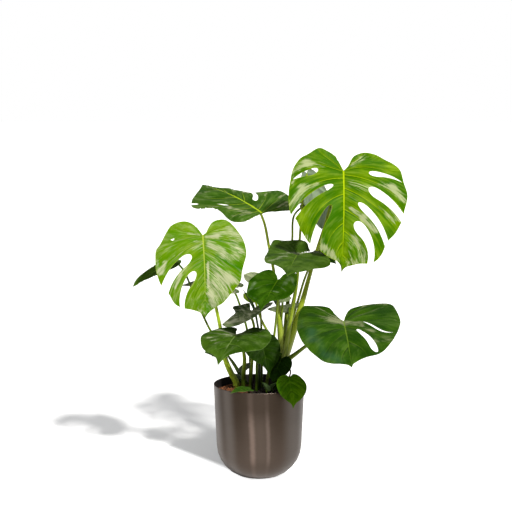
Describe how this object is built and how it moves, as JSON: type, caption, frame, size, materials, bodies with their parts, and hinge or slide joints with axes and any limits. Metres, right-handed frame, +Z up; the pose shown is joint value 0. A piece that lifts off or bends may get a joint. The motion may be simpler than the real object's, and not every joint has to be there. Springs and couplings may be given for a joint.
{
  "type": "potted swiss cheese plant",
  "caption": "Leafy pot plant with large split and holed heart-shaped leaves on long stalks, rooted in soil in a round metal pot with a rounded foot.",
  "frame": {"origin": "middle of the flat underside of the pot's foot, on the pot's axis", "axes": "+Z up along the pot's axis, towards the top leaf; -Y is the plant's front, the side the picture shows; +X is to the viewer's right"},
  "size_m": [0.6487, 0.4799, 0.799],
  "materials": {
    "pot": "satin",
    "soil": "matte",
    "leaf_bright": "satin",
    "leaf_green": "satin",
    "leaf_pale": "satin",
    "stalk": "satin",
    "root": "matte"
  },
  "bodies": {
    "root": {"aerial_root": "root", "crown_right": "stalk", "leaf_back_flat": "leaf_pale", "leaf_back_left": "leaf_green", "leaf_back_pale": "leaf_pale", "leaf_centre": "leaf_green", "leaf_centre_low": "leaf_green", "leaf_dark": "leaf_green", "leaf_far_left": "leaf_green", "leaf_front_left": "leaf_green", "leaf_front_middle": "leaf_green", "leaf_grey": "leaf_green", "leaf_left": "leaf_bright", "leaf_new_left": "leaf_green", "leaf_new_right": "leaf_green", "leaf_over_rim": "leaf_green", "leaf_pale": "leaf_pale", "leaf_right": "leaf_green", "leaf_rim_front": "leaf_bright", "leaf_rolled": "stalk", "leaf_small_blue": "leaf_green", "leaf_small_left": "leaf_green", "leaf_small_right": "leaf_green", "leaf_small_teal": "leaf_pale", "leaf_top_back": "leaf_green", "leaf_top_hanging": "leaf_pale", "leaf_top_left": "leaf_green", "leaf_top_right": "leaf_bright", "leaf_yellow": "leaf_bright", "pot": "pot", "soil": "soil", "stalk_back_left": "stalk", "stalk_centre_low": "stalk", "stalk_far_left": "stalk", "stalk_front_left": "stalk", "stalk_front_middle": "stalk", "stalk_grey": "stalk", "stalk_left": "stalk", "stalk_new_left": "stalk", "stalk_new_right": "stalk", "stalk_pale": "stalk", "stalk_rim_front": "stalk", "stalk_small_blue": "stalk", "stalk_small_left": "stalk", "stalk_small_teal": "stalk"}
  },
  "joints": []
}
